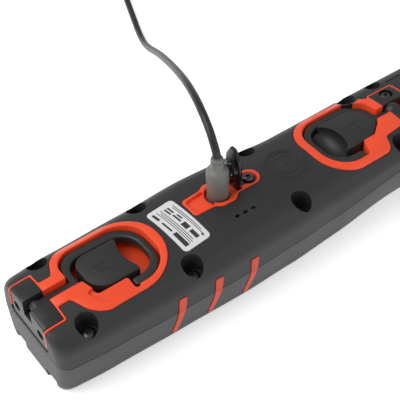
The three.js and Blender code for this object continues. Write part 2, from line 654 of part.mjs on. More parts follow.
add('front_lens', frontLens(), finishes.lens());
add('reflector_frame', reflectorFrame(), finishes.white());
add('led_strip', box(136, 236, -5.5, 5.5, 5.8, 7), finishes.phosphor());
add('led_board', box(131, 241, -13, 13, 7.3, 8.8), finishes.aluminium());
add('heat_sink', join(
  box(131, 241, -13, 13, 9.1, 11),
  ...[-12, -4, 4, 12].map((y) => box(131, 241, y - 0.9, y + 0.9, 10.5, 15.5)),
), finishes.aluminium());
add('main_board', box(92, 124, -14, 14, 11.7, 13.3), finishes.board());
add('button_switch', join(box(BUTTON.x - 3, BUTTON.x + 3, -3, 3, 8.6, 11.4), rod('z', BUTTON.x, 0, 1.7, 7.9, 9, 12)),
  finishes.black());
add('power_button', join(
  rod('z', BUTTON.x, 0, BUTTON.r, 0.9, 3.4, 28),
  rod('z', BUTTON.x, 0, BUTTON.r + 1.2, 3, 4.2, 28),
  rod('z', BUTTON.x, 0, 1.8, 4, 6.6, 12),
), finishes.black());
add('battery_cell', rod('x', 0, 13.2, 9.1, 20, 85, 28), finishes.cell());
add('torch_lens', rod('x', 0, TORCH.z, TORCH.r, LENGTH - 3, LENGTH - 0.8, 28), finishes.lens());
add('torch_reflector', cut(
  rod('x', 0, TORCH.z, 3.4, LENGTH - 10.5, LENGTH - 3.4, 28, 6.4),
  rod('x', 0, TORCH.z, 2, LENGTH - 10.6, LENGTH - 3.3, 28, 5.8),
), finishes.aluminium());
add('torch_led', join(
  rod('x', 0, TORCH.z, 5.5, LENGTH - 13, LENGTH - 11.6, 24),
  rod('x', 0, TORCH.z, 1.5, LENGTH - 12, LENGTH - 10.9, 12),
), finishes.board());

add('lamp_plug', lampPlug(), finishes.plug());
add('lamp_plug_tip', box(PORT.x - 3.4, PORT.x + 3.4, PORT.y - 0.9, PORT.y + 0.9, 32.5, 38.3), finishes.steel());
add('charging_cable', cable(), finishes.cable());
add('cable_coil', cableCoil(), finishes.cable());
add('cable_tie', cableTie(), finishes.black());
add('charger_plug', chargerPlug(), finishes.plug());
add('charger_plug_tip', chargerTip(), finishes.steel());

const root = new THREE.Group();
root.add(light);
export default root;
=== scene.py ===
# %% [markdown]
# # A rechargeable work light, built in cells
#
# The light lies on its lens side, with its back face up. Its back carries two fold-away hooks, each
# round a magnet pad, and a charging port with a rubber flap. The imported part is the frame: every
# piece here is placed in the same space, in metres, with +X along the body and +Z up. Most numbers
# below are in millimetres, counted along the body from the handle end, because those are the numbers
# a maker would read off the part.

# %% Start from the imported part
import math
import bmesh
import bpy
from mathutils import Matrix, Vector


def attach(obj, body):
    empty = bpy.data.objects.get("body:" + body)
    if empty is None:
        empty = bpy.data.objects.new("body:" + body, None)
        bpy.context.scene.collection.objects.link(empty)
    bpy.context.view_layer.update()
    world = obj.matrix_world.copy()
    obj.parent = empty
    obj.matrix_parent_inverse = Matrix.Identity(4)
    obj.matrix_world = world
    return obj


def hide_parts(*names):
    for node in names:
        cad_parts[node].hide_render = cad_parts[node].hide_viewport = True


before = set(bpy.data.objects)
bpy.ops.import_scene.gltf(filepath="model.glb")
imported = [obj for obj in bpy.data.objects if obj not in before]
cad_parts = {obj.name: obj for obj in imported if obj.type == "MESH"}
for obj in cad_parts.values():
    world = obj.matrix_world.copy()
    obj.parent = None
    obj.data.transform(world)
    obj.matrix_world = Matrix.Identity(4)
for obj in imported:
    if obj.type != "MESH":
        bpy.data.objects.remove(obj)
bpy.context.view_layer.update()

MM = 0.001
LENGTH = 258
GAP = 0.3
SIDES, SIDE_NAMES = (-1, 1), ("near", "far")


def metres(x, y, z):
    """A place on the light, from millimetres counted from its handle end, in the part's frame."""
    return Vector(((x - LENGTH / 2) * MM, y * MM, z * MM))


# %% [markdown]
# ## The camera
# A camera is placed by three directions: where its back points, its right and its up. Working them
# out from an azimuth, an elevation and a small roll keeps the numbers readable, and the matrix of
# the three is the camera's turn. A long lens, 92 mm on a 36 mm sensor, flattens the perspective as
# a catalogue picture does.

# %% Camera
azimuth, elevation, roll = math.radians(-34.71), math.radians(44.66), math.radians(-2.36)
back = Vector((math.sin(azimuth) * math.cos(elevation), -math.cos(azimuth) * math.cos(elevation),
               math.sin(elevation)))
level = Vector((math.cos(azimuth), math.sin(azimuth), 0))
upright = back.cross(level)
camera_right = level * math.cos(roll) + upright * math.sin(roll)
camera_up = upright * math.cos(roll) - level * math.sin(roll)

camera = bpy.data.objects.new("camera", bpy.data.cameras.new("camera"))
camera.data.lens = 92.09
camera.data.sensor_width = 36
camera.matrix_world = Matrix((camera_right, camera_up, back)).transposed().to_4x4()
camera.matrix_world.translation = (-0.22288, -0.26629, 0.36631)
bpy.context.collection.objects.link(camera)
bpy.context.scene.camera = camera
print(f"camera: {camera.data.lens:.0f} mm lens, {camera.location.length:.2f} m from the light")

# %% [markdown]
# ## Small helpers for materials
# Moulded plastic is never one flat colour: it has a fine grain from the mould, a slow drift in
# shade, and edges that are a little round. One function builds that finish, so each plastic on the
# light differs only in its numbers. The Bevel node rounds the look of an edge in the shader, which
# suits edges left by a boolean cut.


# %% A moulded finish
def moulded(name, colour, roughness, grain=0.45, depth=0.02, edge=0.35, drift=0.12, metal=0.0):
    """A node material: colour drift, a fine grain in millimetres and rounded edges."""
    material = bpy.data.materials.new(name)
    material.use_nodes = True
    nodes, links = material.node_tree.nodes, material.node_tree.links
    shader = nodes["Principled BSDF"]
    place = nodes.new("ShaderNodeTexCoord")

    cloud = nodes.new("ShaderNodeTexNoise")
    cloud.inputs["Scale"].default_value = 45
    cloud.inputs["Detail"].default_value = 3
    shade = nodes.new("ShaderNodeValToRGB")
    dark = [c * (1 - drift) for c in colour]
    light = [min(1, c * (1 + drift)) for c in colour]
    shade.color_ramp.elements[0].color = (*dark, 1)
    shade.color_ramp.elements[1].color = (*light, 1)
    links.new(place.outputs["Object"], cloud.inputs["Vector"])
    links.new(cloud.outputs["Fac"], shade.inputs["Fac"])
    links.new(shade.outputs["Color"], shader.inputs["Base Color"])

    speck = nodes.new("ShaderNodeTexNoise")
    speck.inputs["Scale"].default_value = 1000 / grain
    speck.inputs["Detail"].default_value = 2
    spread = nodes.new("ShaderNodeMapRange")
    spread.inputs["To Min"].default_value = max(0.02, roughness - 0.08)
    spread.inputs["To Max"].default_value = min(1, roughness + 0.08)
    links.new(place.outputs["Object"], speck.inputs["Vector"])
    links.new(speck.outputs["Fac"], spread.inputs["Value"])
    links.new(spread.outputs["Result"], shader.inputs["Roughness"])

    rounded = nodes.new("ShaderNodeBevel")
    rounded.samples = 6
    rounded.inputs["Radius"].default_value = edge * MM
    bump = nodes.new("ShaderNodeBump")
    bump.inputs["Strength"].default_value = 0.6
    bump.inputs["Distance"].default_value = depth * MM
    links.new(speck.outputs["Fac"], bump.inputs["Height"])
    links.new(rounded.outputs["Normal"], bump.inputs["Normal"])
    links.new(bump.outputs["Normal"], shader.inputs["Normal"])
    shader.inputs["Metallic"].default_value = metal
    return material


# %% [markdown]
# ## The finishes
# The shells are charcoal and grey with a fine spark-eroded grain, the trays and grips are a strong
# red-orange with a soft gloss, and the hooks, pads and bracket are a smoother black. Keeping all of
# them in one table lets a reader compare them.

# %% Finishes
finish = {
    "shell": moulded("charcoal_shell", (0.021, 0.0215, 0.0215), 0.5, grain=0.5, depth=0.06),
    "front": moulded("grey_shell", (0.036, 0.036, 0.041), 0.5, grain=0.5, depth=0.06),
    "red": moulded("red_plastic", (0.93, 0.078, 0.021), 0.34, grain=0.7, depth=0.012, edge=0.5, drift=0.06),
    "grip": moulded("red_grip", (0.62, 0.062, 0.026), 0.6, grain=0.35, depth=0.03, edge=0.3, drift=0.06),
    "hook": moulded("hook_coating", (0.020, 0.0205, 0.021), 0.46, grain=0.35, depth=0.03),
    "pad": moulded("black_pad", (0.019, 0.0195, 0.0195), 0.48, grain=0.4, depth=0.04),
    "bracket": moulded("black_bracket", (0.016, 0.0165, 0.0165), 0.4, grain=0.5, depth=0.02),
    "rubber": moulded("black_rubber", (0.004, 0.004, 0.0045), 0.24, grain=0.9, depth=0.01, drift=0.2),
    "dark_steel": moulded("dark_steel", (0.10, 0.10, 0.105), 0.3, grain=0.3, depth=0.01, metal=1.0),
    "steel": moulded("bright_steel", (0.62, 0.62, 0.64), 0.28, grain=0.3, depth=0.008, metal=1.0),
    "plug": moulded("plug_grey", (0.165, 0.165, 0.156), 0.48, grain=0.35, depth=0.03, drift=0.08),
    "cable": moulded("cable_jacket", (0.011, 0.011, 0.0115), 0.4, grain=0.3, depth=0.02, drift=0.15),
    "label": moulded("label_film", (0.72, 0.73, 0.74), 0.4, grain=0.5, depth=0.005, drift=0.03),
    "ink": moulded("label_ink", (0.03, 0.03, 0.032), 0.45, grain=0.3, depth=0.003),
    "board": moulded("circuit_board", (0.02, 0.14, 0.06), 0.4, grain=0.5, depth=0.01),
    "aluminium": moulded("satin_aluminium", (0.7, 0.7, 0.72), 0.3, grain=0.3, depth=0.01, metal=1.0),
    "white": moulded("white_reflector", (0.82, 0.82, 0.8), 0.3, grain=0.5, depth=0.005, drift=0.03),
    "phosphor": moulded("led_phosphor", (0.85, 0.60, 0.06), 0.45, grain=2.2, depth=0.2, drift=0.15),
    "cell": moulded("cell_wrap", (0.03, 0.14, 0.42), 0.3, grain=0.6, depth=0.01),
}


def clear(name, colour, roughness):
    """Clear polycarbonate: a transmitting shader with a faint moulded waviness."""
    material = moulded(name, colour, roughness, grain=3, depth=0.01, drift=0.02)
    material.node_tree.nodes["Principled BSDF"].inputs["Transmission Weight"].default_value = 0.92
    material.node_tree.nodes["Principled BSDF"].inputs["IOR"].default_value = 1.5
    return material


finish["lens"] = clear("clear_lens", (0.9, 0.94, 0.96), 0.12)
print(len(finish), "finishes")

# %% [markdown]
# ## The charging cable
# A cable is a curve with a round section. Its route is a given list of points: straight up out
# of the plug, over in one easy arch and down to the floor, where a loop winds the spare length into
# a flat coil. The coil has two layers. The first works inwards, the second climbs over it and works
# outwards, so the end leaves from the outside, as a real wound lead does.

# %% The cable's route
PORT = Vector((102.4, 2.6))
HEADING = math.radians(68)
ROUTE = [
    (0.2, 63.9, 0), (0.95, 66.6, 0.3), (2.9, 69.9, 0.8), (5.9, 72.9, 1.2), (10.2, 75.2, 1.7), (16, 76.5, 2.1),
    (24, 76.4, 2.3), (34, 74.6, 2.4), (46.5, 70.9, 2.4), (60, 65.2, 2.2), (74, 58.4, 1.8), (92, 49, 1.2),
    (110, 39.2, 0.6), (124, 31.3, 0.2), (137, 23.8, 0), (149, 16.9, 0), (160, 11, 0), (170, 6.6, 0),
    (179.5, 3.8, 0), (189, 2.4, 0), (199, 2.1, 0), (211, 2.1, 0), (226, 2.1, 0), (241, 2.2, 0), (247, 2.5, 0),
    (252, 2.85, 0),
]
CABLE_RADIUS = 1.88
east, north = math.cos(HEADING), math.sin(HEADING)
route = [metres(PORT.x + away * east - drift * north, PORT.y + away * north + drift * east, z)
         for away, z, drift in ROUTE]

COIL = Vector((221.6, 231))
COIL_OUTER, COIL_STEP = 24.9, 3.9
FIRST_LAYER, SECOND_LAYER = 3.1, 7.0
COIL_START = math.radians(158.1)
STEPS_A_TURN, COIL_STEPS = 20, 107


def eased(value, start, end):
    """0 before start, 1 after end, and a smooth step between them."""
    t = min(max((value - start) / (end - start), 0), 1)
    return t * t * (3 - 2 * t)


def coil_point(turn):
    """Where the cable lies after that many turns."""
    inwards = eased(turn, 0.75, 0.9) + eased(turn, 1.75, 1.9)
    outwards = eased(turn, 3.3, 3.5) + eased(turn, 4.3, 4.5)
    radius = COIL_OUTER - COIL_STEP * (inwards - outwards)
    height = FIRST_LAYER + (SECOND_LAYER - FIRST_LAYER) * eased(turn, 2.55, 2.75)
    angle = COIL_START - 2 * math.pi * turn
    return metres(COIL.x + radius * math.cos(angle), COIL.y + radius * math.sin(angle), height)


coil_turns = [coil_point(step / STEPS_A_TURN) for step in range(COIL_STEPS)]
TAIL = [(242.4, 246.2, 6.9), (247.6, 240.6, 6.3), (251.4, 234, 5.4), (253.3, 227.6, 4.8), (253.8, 223.6, 4.7)]
cable_points = route + coil_turns + [metres(*point) for point in TAIL]


def tube(name, points, radius):
    """A round tube along points, as one open spline."""
    data = bpy.data.curves.new(name, "CURVE")
    data.dimensions = "3D"
    data.bevel_depth = radius * MM
    data.bevel_resolution = 4
    data.use_fill_caps = True
    data.resolution_u = 4
    spline = data.splines.new("BEZIER")
    spline.bezier_points.add(len(points) - 1)
    for knot, point in zip(spline.bezier_points, points):
        knot.co = point
        knot.handle_left_type = knot.handle_right_type = "AUTO"
    piece = bpy.data.objects.new(name, data)
    bpy.context.collection.objects.link(piece)
    return piece


cable = tube("charging_lead", cable_points, CABLE_RADIUS)
cable.data.materials.append(finish["cable"])
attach(cable, "housing")
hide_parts("charging_cable", "cable_coil")

# %% [markdown]
# ## Modelling helpers
# Nearly every other piece starts as a flat outline with rounded corners, raised into a plate. A
# bmesh polygon is made from the few corners that matter, each corner is rounded by a vertex bevel,
# the face is extruded, and the top edges get a bevel of their own. Turned pieces are a half profile
# spun round an axis.


# %% Outlines and plates
def grown(corners, distance):
    """The same corners, moved outwards by an even distance."""
    area = sum(a[0] * b[1] - b[0] * a[1] for a, b in zip(corners, corners[1:] + corners[:1]))
    ring = corners if area > 0 else corners[::-1]
    moved = []
    for i, (x, y, radius) in enumerate(ring):
        before, after = Vector(ring[i - 1][:2]), Vector(ring[(i + 1) % len(ring)][:2])
        a, b = (Vector((x, y)) - before).normalized(), (after - Vector((x, y))).normalized()
        spread = 1 + a.dot(b)
        turn = a.x * b.y - a.y * b.x
        moved.append((x + distance * (a.y + b.y) / spread, y - distance * (a.x + b.x) / spread,
                      max(radius + math.copysign(distance, turn), 0.02)))
    return moved


def outline(bm, corners, height):
    """A flat face with rounded corners at that height."""
    ring = grown(corners, 0)
    face = bm.faces.new([bm.verts.new((x, y, height)) for x, y, _ in ring])
    corner_verts = list(face.verts)
    for i, (vert, (x, y, radius)) in enumerate(zip(corner_verts, ring)):
        if radius < 0.15:
            continue
        before, after = Vector(ring[i - 1][:2]), Vector(ring[(i + 1) % len(ring)][:2])
        here = Vector((x, y))
        turn = (here - before).angle(after - here)
        steps = max(2, round(turn * radius * 1.1) + 2)
        bmesh.ops.bevel(bm, geom=[vert], offset=radius * math.tan(turn / 2), offset_type="OFFSET",
                        segments=min(steps, 24), profile=0.5, affect="VERTICES", clamp_overlap=False,
                        material=-1)
    bm.faces.ensure_lookup_table()
    return bm.faces[0]


def plate(corners, low, high, top=0.0, bottom=0.0, grow=0.0, segments=3):
    """A rounded outline raised into a plate, with its top and bottom edges rounded."""
    bm = bmesh.new()
    face = outline(bm, grown(corners, grow), low)
    raised = bmesh.ops.extrude_face_region(bm, geom=[face])
    verts = [g for g in raised["geom"] if isinstance(g, bmesh.types.BMVert)]
    bmesh.ops.translate(bm, verts=verts, vec=(0, 0, high - low))
    bmesh.ops.recalc_face_normals(bm, faces=bm.faces)
    for level, size in ((high, top), (low, bottom)):
        if size:
            edges = [e for e in bm.edges if all(abs(v.co.z - level) < 1e-4 for v in e.verts)]
            bmesh.ops.bevel(bm, geom=edges, offset=size, offset_type="OFFSET", segments=segments,
                            profile=0.5, affect="EDGES", clamp_overlap=True, material=-1)
    return bm


def turned(profile, steps=32):
    """A half profile of (radius, height), spun round the upright axis into a closed solid."""
    bm = bmesh.new()
    verts = [bm.verts.new((r, 0, z)) for r, z in profile]
    edges = [bm.edges.new(pair) for pair in zip(verts, verts[1:])]
    bmesh.ops.spin(bm, geom=verts + edges, cent=(0, 0, 0), axis=(0, 0, 1), dvec=(0, 0, 0),
                   angle=2 * math.pi, steps=steps, use_merge=True, use_duplicate=False)
    bmesh.ops.remove_doubles(bm, verts=bm.verts, dist=0.0005)
    bmesh.ops.recalc_face_normals(bm, faces=bm.faces)
    return bm


def merged(*parts):
    """Several bmeshes as one, each kept whole."""
    whole = parts[0]
    for part in parts[1:]:
        spare = bpy.data.meshes.new("spare")
        part.to_mesh(spare)
        whole.from_mesh(spare)
        bpy.data.meshes.remove(spare)
        part.free()
    return whole


# %% Cutting one mesh with another
def as_object(name, bm):
    """The bmesh as a plain object, still in millimetres."""
    mesh = bpy.data.meshes.new(name)
    bm.to_mesh(mesh)
    bm.free()
    thing = bpy.data.objects.new(name, mesh)
    bpy.context.collection.objects.link(thing)
    return thing


def carve(bm, tool, operation="DIFFERENCE"):
    """The bmesh after an exact boolean with the tool, which is used up."""
    base, cutter = as_object("base", bm), as_object("cutter", tool)
    change = base.modifiers.new("cut", "BOOLEAN")
    change.object, change.operation, change.solver = cutter, operation, "EXACT"
    result = bmesh.new()
    depsgraph = bpy.context.evaluated_depsgraph_get()
    result.from_mesh(base.evaluated_get(depsgraph).to_mesh())
    for thing in (base, cutter):
        mesh = thing.data
        bpy.data.objects.remove(thing)
        bpy.data.meshes.remove(mesh)
    return result


def finished(name, bm, body, material, replaces=(), angle=32):
    """Moves the bmesh into the part's frame and hands it over as a finished piece."""
    bmesh.ops.translate(bm, verts=bm.verts, vec=(-LENGTH / 2, 0, 0))
    bmesh.ops.scale(bm, verts=bm.verts, vec=(MM, MM, MM))
    piece = as_object(name, bm)
    for polygon in piece.data.polygons:
        polygon.use_smooth = True
    piece.data.set_sharp_from_angle(angle=math.radians(angle))
    piece.data.materials.append(finish[material])
    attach(piece, body)
    if replaces:
        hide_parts(*replaces)
    print(f"{name}: {len(piece.data.polygons)} faces")
    return piece


# %% [markdown]
# ## The body's form
# Both shells follow one set of tables: how wide the body is, how high its crown and where the joint
# line runs, each by its distance from the handle end. A grid is wrapped round the section at every
# station, so the surface is smooth enough to catch a long highlight.

# %% Tables of the body
HALF_WIDTH = [(0, 26.6), (25, 28.2), (60, 29.2), (96, 30), (124, 29.2), (150, 27.6), (190, 26.8), (258, 26.8)]
CROWN = [(0, 38.6), (22, 39.3), (64, 39.8), (96, 41.4), (118, 40.8), (146, 39.7), (258, 39.6)]
SEAM = [(0, 21), (148, 21), (196, 25.6), (258, 26)]
TAPER = [(0, 0), (140, 0), (200, 0.2), (258, 0.2)]
REF_HALF, REF_REAR, REF_SEAM = 28, 20.3, 21


def along(table, x):
    """The table's value at x, in smooth steps."""
    for (x0, v0), (x1, v1) in zip(table, table[1:]):
        if x <= x1:
            return v0 + (v1 - v0) * eased(x, x0, x1)
    return table[-1][1]


def drawn_in(distance, radius):
    """How far a rounded end has drawn in at a distance from it."""
    if distance >= radius:
        return 0
    return radius - math.sqrt(max(0, radius ** 2 - (radius - distance) ** 2))


def end_round(x, handle, head):
    """How far either end has drawn in at x, with a radius for each."""
    return drawn_in(x, handle) + drawn_in(LENGTH - x, head)


def half_width(x):
    """Half the body's width at x."""
    return along(HALF_WIDTH, x) - end_round(x, 6, 15)


def crown(x):
    """The height of the middle of the back at x."""
    return along(CROWN, x) - end_round(x, 1.6, 6)


print(f"at the port: {2 * half_width(PORT.x):.1f} mm wide, {crown(PORT.x):.1f} mm high")


# %% Sections of the two shells
LEAN = 1.326
SHOULDER = 13
ARC_X, ARC_Z = REF_HALF - 0.7 - SHOULDER, 5.5
EDGE_X = ARC_X + SHOULDER * math.cos(LEAN)
EDGE_Z = ARC_Z + SHOULDER * math.sin(LEAN)


def rear_height(y):
    """Height of the rear shell's reference section, from the joint line, at y."""
    y = abs(y)
    if y <= EDGE_X:
        return EDGE_Z + 0.125 * EDGE_X * (1 - (y / EDGE_X) ** 2)
    return ARC_Z + math.sqrt(max(0, SHOULDER ** 2 - (y - ARC_X) ** 2))


def both_halves(half):
    """A half section, carried on down the other side of the body."""
    return half + [(-y, z) for y, z in half[-2::-1]]


ARC_STEPS, CROWN_STEPS = 14, 10
rear_section = both_halves(
    [(REF_HALF, 0), (REF_HALF - 0.3, 2.5)]
    + [(ARC_X + SHOULDER * math.cos(t * LEAN / ARC_STEPS), ARC_Z + SHOULDER * math.sin(t * LEAN / ARC_STEPS))
       for t in range(ARC_STEPS + 1)]
    + [(EDGE_X * (1 - t / CROWN_STEPS), rear_height(EDGE_X * (1 - t / CROWN_STEPS)))
       for t in range(1, CROWN_STEPS + 1)])

FOOT, FOOT_ROUND = REF_HALF - 2.2, 8
front_section = both_halves(
    [(-REF_HALF, REF_SEAM), (-REF_HALF + 0.5, REF_SEAM * 0.8), (-REF_HALF + 1.3, REF_SEAM * 0.58)]
    + [(-FOOT + FOOT_ROUND - FOOT_ROUND * math.cos(t * math.pi / 20),
        FOOT_ROUND - FOOT_ROUND * math.sin(t * math.pi / 20)) for t in range(11)]
    + [(-FOOT * (1 - t / 4) + FOOT_ROUND * (1 - t / 4), 0) for t in range(1, 5)])
print(len(rear_section), "points round the rear section,", len(front_section), "round the front")

# %% Skins wrapped round the sections
END_ZONE, MIDDLE_STEPS = 15, 76
end_stations = [END_ZONE * (1 - math.cos(t * math.pi / 20)) for t in range(11)]
stations = end_stations \
    + [END_ZONE + (LENGTH - 2 * END_ZONE) * t / MIDDLE_STEPS for t in range(1, MIDDLE_STEPS)] \
    + [LENGTH - x for x in end_stations[::-1]]


def wrapped(section, place):
    """A closed skin: a grid wrapped round the section at every station, with both ends filled."""
    columns, rows = len(stations) - 1, len(section) - 1
    bm = bmesh.new()
    bmesh.ops.create_grid(bm, x_segments=columns, y_segments=rows, size=0.5)
    for vert in bm.verts:
        y, z = section[round((vert.co.y + 0.5) * rows)]
        vert.co = place(stations[round((vert.co.x + 0.5) * columns)], y, z)
    rim = [e for e in bm.edges if e.is_boundary]
    lengthwise = [e for e in rim if abs(e.verts[0].co.x - e.verts[1].co.x) > 1e-6]
    bmesh.ops.bridge_loops(bm, edges=lengthwise)
    bmesh.ops.holes_fill(bm, edges=[e for e in bm.edges if e.is_boundary], sides=0)
    bmesh.ops.recalc_face_normals(bm, faces=bm.faces)
    return bm


def rear_skin(lift=0.0, widen=0.0, skirt=0.0):
    """The rear shell's skin, with its surface lifted, widened or brought down past the joint."""
    def place(x, y, z):
        base = along(SEAM, x) + GAP / 2
        side = y * (half_width(x) + widen) / REF_HALF
        if z == 0 and skirt:
            return Vector((x, side, base - skirt))
        return Vector((x, side, base + z * (crown(x) - base) / REF_REAR + lift))
    return wrapped(rear_section, place)


def front_skin(widen=0.0, skirt=0.0):
    """The front shell's skin, widened or brought up past the joint."""
    def place(x, y, z):
        top, low = along(SEAM, x) - GAP / 2 + skirt, end_round(x, 2.5, 5)
        depth = 1 - z / REF_SEAM
        taper = 1 - along(TAPER, x) * depth * depth
        return Vector((x, y * taper * (half_width(x) + widen) / REF_HALF, low + z * (top - low) / REF_SEAM))
    return wrapped(front_section, place)


print(len(stations), "stations along the body")

# %% [markdown]
# ## Outlines on the back
# The trays, wells, port and label are all openings or inlays in the rear shell. Their corners are
# listed once, as (x, y, corner radius), so that the shell's opening and the piece that fills it can
# be grown from the same line.


# %% Corner lists
def both_sides(corners):
    """The corners and their mirror image across the body."""
    return corners + [(x, -y, r) for x, y, r in corners[::-1]]


handle_tray_line = both_sides([
    (-1, -15.3, 0.1), (11.2, -15.3, 0.8), (11.2, -8, 1), (17.3, -8, 1.5), (23, -20.9, 11),
    (67.2, -20.9, 19.5)])
handle_well = [
    (-2, -2.9, 0.1), (26.2, -2.9, 1), (28.6, -11.4, 2), (43.6, -11.4, 1), (43.6, -17.8, 1.4),
    (63, -17.8, 14), (63, 17.8, 14), (21.8, 17.8, 10.4), (21.8, 2.9, 0.8), (-2, 2.9, 0.1)]
handle_ledge = [(23.5, -8.6, 2), (30, -19.2, 8), (46, -19.2, 2), (46, -8.6, 0.5)]
bracket_recess = [(-2, -14.6, 0.1), (10.4, -14.6, 0.5), (10.4, 14.6, 0.5), (-2, 14.6, 0.1)]
head_tray_line = [
    (153.8, -21.4, 17), (188.6, -21.4, 4), (191.6, -13.8, 2.5), (203.6, -12.6, 1), (204.6, -13.9, 0.8),
    (220.6, -13.9, 1.5), (220.6, 13.9, 1.5), (204.6, 13.9, 0.8), (203.6, 12.4, 1), (192.4, 20.9, 2),
    (153.8, 21.4, 17)]
head_well = [
    (157.8, -17.7, 14), (178, -17.7, 1.2), (180.6, -10, 1), (187.6, -10, 3), (195, -4.6, 4),
    (196.2, -2.6, 0.6), (207, -2.6, 0.3), (207, 2.6, 0.3), (200.6, 2.6, 1), (199.8, 10.6, 6),
    (192, 17.7, 6), (157.8, 17.7, 14)]
clamp_recess = [(205, -13.3, 0.6), (220, -13.3, 1), (220, 13.3, 1), (205, 13.3, 0.6)]
port_half = [
    (85.9, 6.0, 1.6), (96.5, 6.6, 4), (99.5, 8.8, 3), (107, 8.8, 4), (110.8, 5.3, 3), (125.6, 5.4, 4.9)]
port_line = [(x, PORT.y - 0.9 * y, r) for x, y, r in port_half] \
    + [(x, PORT.y + y, r) for x, y, r in port_half[::-1]]
label_line = [(70.9, -15.9, 2), (85.5, -15.2, 2), (84, 14, 2), (69.4, 13.3, 2)]
FLAP_BOLT_X, BOLT_SEAT_Z = 119.8, 38.6
SCREW_BORES = [(17, 20.6, 4.9), (70, 21.8, 4.9), (132.3, 20.8, 4.9), (196.4, 20.6, 5.2), (214.8, 20.4, 4.3)]
SCREW_SEAT = 28
# Heights that are clear of the body, for the ends of a cutting tool.
BELOW, ABOVE = 20, 50
print(len(SCREW_BORES) * 2, "screw bores")


def post(x, y, radius, low, high, steps=40):
    """An upright cylinder."""
    bm = turned([(0, low), (radius, low), (radius, high), (0, high)], steps)
    bmesh.ops.translate(bm, verts=bm.verts, vec=(x, y, 0))
    return bm


def block(x0, x1, y0, y1, z0, z1):
    """A box between two corners."""
    bm = bmesh.new()
    bmesh.ops.create_cube(bm, size=1)
    bmesh.ops.scale(bm, verts=bm.verts, vec=(x1 - x0, y1 - y0, z1 - z0))
    bmesh.ops.translate(bm, verts=bm.verts, vec=((x0 + x1) / 2, (y0 + y1) / 2, (z0 + z1) / 2))
    return bm


# %% [markdown]
# ## Grip stripes
# Three rubber stripes lean across the joint on each side, each in its own shallow groove. A leaning
# outline is raised sideways through the body, then trimmed to a thin layer of the body's own form, so
# that the stripe bulges exactly as the shell does.


# %% Stripe outlines
def stripe_line(x):
    """A stripe's corners in x and z, leaning towards the head as it rises."""
    return [(x - 2.9, 6.2, 0.8), (x - 0.4, 6.2, 0.8), (x + 2.9, 18, 14), (x + 5.1, 27.6, 0.4),
            (x + 1, 27.6, 0.4), (x - 0.4, 18, 14)]


STRIPES = (57, 76.4, 96)
STRIPE_PROUD, STRIPE_DEEP, GROOVE_DEEP = 0.35, -0.9, -1.25


def sideways(corners, y0, y1, grow=0.0):
    """An outline drawn on the body's side, in x and z, raised along y."""
    bm = plate(corners, 0, y1 - y0, grow=grow)
    bmesh.ops.rotate(bm, verts=bm.verts, cent=(0, 0, 0), matrix=Matrix.Rotation(math.pi / 2, 3, "X"))
    bmesh.ops.translate(bm, verts=bm.verts, vec=(0, y1, 0))
    return bm


def whole_skin(widen):
    """Both shells as one closed form without the gap between them, wider or narrower than the body."""
    return carve(rear_skin(widen=widen, skirt=0.5), front_skin(widen=widen, skirt=0.5), "UNION")


def stripe_blade(x, side, grow=0.0):
    """One stripe's outline as an upright blade through the wall of that side."""
    near, far = side * 18, side * 36
    return sideways(stripe_line(x), min(near, far), max(near, far), grow)


def grooves():
    """All six stripe grooves, as one tool."""
    blades = merged(*[stripe_blade(x, side, GAP) for x in STRIPES for side in SIDES])
    return carve(blades, whole_skin(GROOVE_DEEP))


for side, name in zip(SIDES, SIDE_NAMES):
    for number, x in enumerate(STRIPES, 1):
        strip = carve(stripe_blade(x, side), whole_skin(STRIPE_PROUD), "INTERSECT")
        finished(f"grip_{name}_{number}", carve(strip, whole_skin(STRIPE_DEEP)), "housing", "grip",
                 [f"grip_stripe_{name}_{number}"])

# %% [markdown]
# ## The rear shell
# The shell is the wrapped skin with its openings cut out: two trays, the port, the label's recess,
# the screw bores and the indicator slots. A shallow groove runs from the last bore to the head end
# on each side. Thin rings stand proud of the shell between the port and the head tray. They are turned
# as tubes and trimmed by a slightly lifted copy of the skin, so their tops follow the crown. The trays'
# openings leave a collar round the bores that they meet: the collar is taken out of the cutter, because
# a boolean union of surfaces that lie in one another leaves slivers.


# %% Rear shell
EMBLEM_X, EMBLEM_LOW, EMBLEM_HIGH = 140.5, 36, 46
EMBLEM_RINGS, EMBLEM_HALF, EMBLEM_PROUD = (10.4, 8.9, 5.85), 0.36, 0.25
LABEL_DEEP = -0.7
COLLAR_WALL, COLLAR_FOOT = 0.75, 30
SLOTS, SLOT_Y, SLOT_HALF, SLOT_FLOOR = (101.3, 105.8, 110.3), (-14.2, -12.6), 1.3, 38.6
LINE_Y, LINE_HALF, LINE_DEEP = 17.2, 0.35, -0.8


def emblem():
    """Concentric rings and a centre dot, trimmed to stand a quarter of a millimetre proud of the back."""
    dot = turned([(0, EMBLEM_LOW), (0.9, EMBLEM_LOW), (0.9, EMBLEM_HIGH), (0, EMBLEM_HIGH)], 24)
    tubes = []
    for radius in EMBLEM_RINGS:
        inner, outer = radius - EMBLEM_HALF, radius + EMBLEM_HALF
        tubes.append(turned([(inner, EMBLEM_LOW), (outer, EMBLEM_LOW), (outer, EMBLEM_HIGH),
                             (inner, EMBLEM_HIGH), (inner, EMBLEM_LOW)], 72))
    rings = merged(dot, *tubes)
    bmesh.ops.translate(rings, verts=rings.verts, vec=(EMBLEM_X, 0, 0))
    return carve(rings, rear_skin(lift=EMBLEM_PROUD), "INTERSECT")


def slot(x):
    """The cutter of one indicator slot."""
    (y0, y1), x0, x1 = SLOT_Y, x - SLOT_HALF, x + SLOT_HALF
    return plate([(x0, y0, 0.7), (x1, y0, 0.7), (x1, y1, 0.7), (x0, y1, 0.7)], SLOT_FLOOR, ABOVE)


